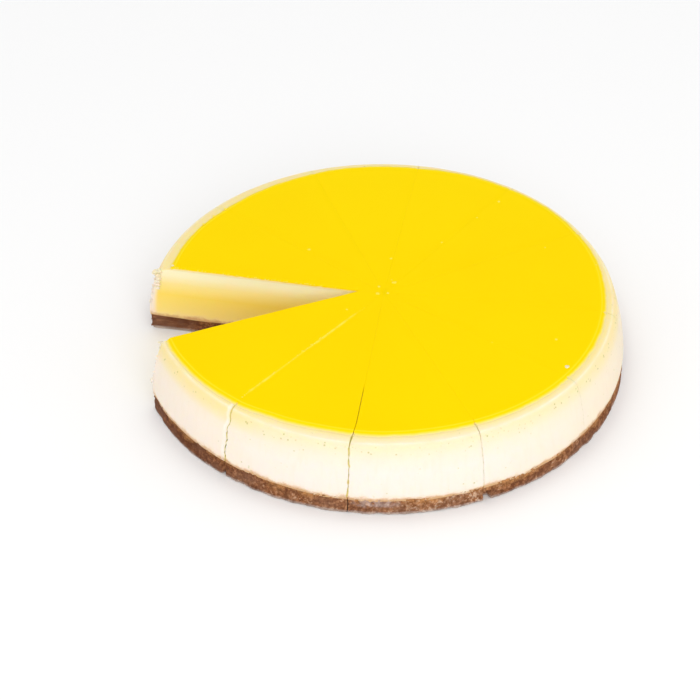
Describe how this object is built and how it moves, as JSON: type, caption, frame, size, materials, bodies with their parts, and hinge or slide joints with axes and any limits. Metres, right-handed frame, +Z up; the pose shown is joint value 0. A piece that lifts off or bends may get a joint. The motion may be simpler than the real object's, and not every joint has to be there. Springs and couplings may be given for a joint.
{
  "type": "cheesecake",
  "caption": "Round baked cheesecake on a biscuit crumb base with a thin yellow glaze, cut into wedge portions, one of them taken out.",
  "frame": {"origin": "on the cake's own axis at the base, the level of the table it rests on", "axes": "+Z up along the cake's axis; -X towards the opening of the missing portion; -Y towards the camera of the picture"},
  "size_m": [0.2383, 0.2404, 0.04],
  "materials": {
    "crust": "matte",
    "filling": "matte",
    "glaze": "satin"
  },
  "bodies": {
    "root": {"slice_01_crust": "crust", "slice_01_filling": "filling", "slice_01_glaze": "glaze", "slice_02_crust": "crust", "slice_02_filling": "filling", "slice_02_glaze": "glaze", "slice_03_crust": "crust", "slice_03_filling": "filling", "slice_03_glaze": "glaze", "slice_04_crust": "crust", "slice_04_filling": "filling", "slice_04_glaze": "glaze", "slice_05_crust": "crust", "slice_05_filling": "filling", "slice_05_glaze": "glaze", "slice_06_crust": "crust", "slice_06_filling": "filling", "slice_06_glaze": "glaze", "slice_07_crust": "crust", "slice_07_filling": "filling", "slice_07_glaze": "glaze", "slice_08_crust": "crust", "slice_08_filling": "filling", "slice_08_glaze": "glaze", "slice_09_crust": "crust", "slice_09_filling": "filling", "slice_09_glaze": "glaze", "slice_10_crust": "crust", "slice_10_filling": "filling", "slice_10_glaze": "glaze", "slice_11_crust": "crust", "slice_11_filling": "filling", "slice_11_glaze": "glaze"}
  },
  "joints": []
}
